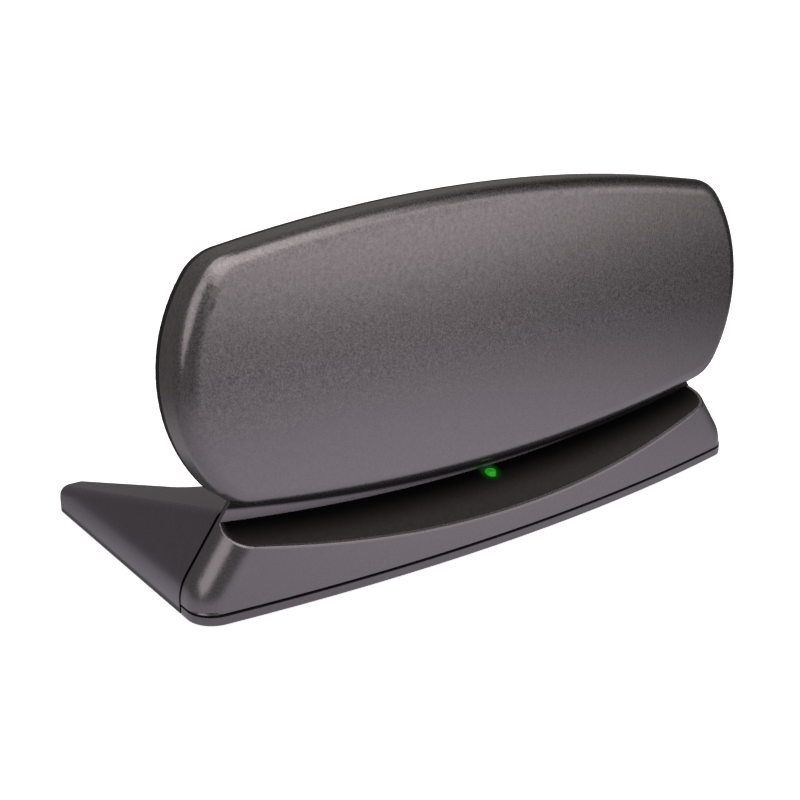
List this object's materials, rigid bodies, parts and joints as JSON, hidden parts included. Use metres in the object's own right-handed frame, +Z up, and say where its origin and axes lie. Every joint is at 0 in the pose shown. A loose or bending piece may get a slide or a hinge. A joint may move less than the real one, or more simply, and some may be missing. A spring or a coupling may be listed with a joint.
{
  "type": "indoor uhf tv antenna",
  "caption": "Indoor UHF television antenna: a flat barrel-shaped panel leaning back in a low base with a dark trough, a green light, rear legs and an aerial connector.",
  "frame": {"origin": "under the middle of the base, on the surface that its rubber feet stand on", "axes": "+X across the width to the viewer's right when seen from the front, +Y to the rear, +Z up"},
  "size_m": [0.251, 0.124, 0.1251],
  "materials": {
    "front_plastic": "satin gunmetal with a fine metallic fleck",
    "rear_plastic": "dark satin with a fine moulded grain",
    "shell_plastic": "satin dark gunmetal with a fine grain",
    "trough_plastic": "matt black",
    "plate_plastic": "matt dark moulded grain",
    "light_lens": "clear green lens, lit",
    "foot_rubber": "matt",
    "radiator_sheet": "rolled sheet",
    "circuit_board": "green solder mask",
    "can_metal": "tinned sheet",
    "diode_resin": "clear resin",
    "connector_metal": "nickel plated",
    "connector_insulator": "white moulding",
    "contact_brass": "plated",
    "lead_jacket": "black jacket",
    "screw_steel": "dark zinc"
  },
  "bodies": {
    "root": {"panel_front_cover": "front_plastic", "panel_rear_cover": "rear_plastic", "left_radiator": "radiator_sheet", "right_radiator": "radiator_sheet", "feed_board": "circuit_board", "base_front_shell": "front_plastic", "base_rear_shell": "shell_plastic", "trough_liner": "trough_plastic", "base_plate": "plate_plastic", "front_right_foot": "foot_rubber", "front_left_foot": "foot_rubber", "rear_right_foot": "foot_rubber", "rear_left_foot": "foot_rubber", "amplifier_board": "circuit_board", "shield_can": "can_metal", "status_diode": "diode_resin", "light_window": "light_lens", "f_connector_body": "connector_metal", "f_connector_insulator": "connector_insulator", "f_connector_contact": "contact_brass", "f_connector_washer": "connector_metal", "f_connector_nut": "connector_metal", "coaxial_lead": "lead_jacket", "panel_cover_screws": "screw_steel", "panel_mount_screws": "screw_steel", "feed_board_screws": "screw_steel", "base_screws": "screw_steel", "board_screws": "screw_steel"}
  },
  "joints": []
}
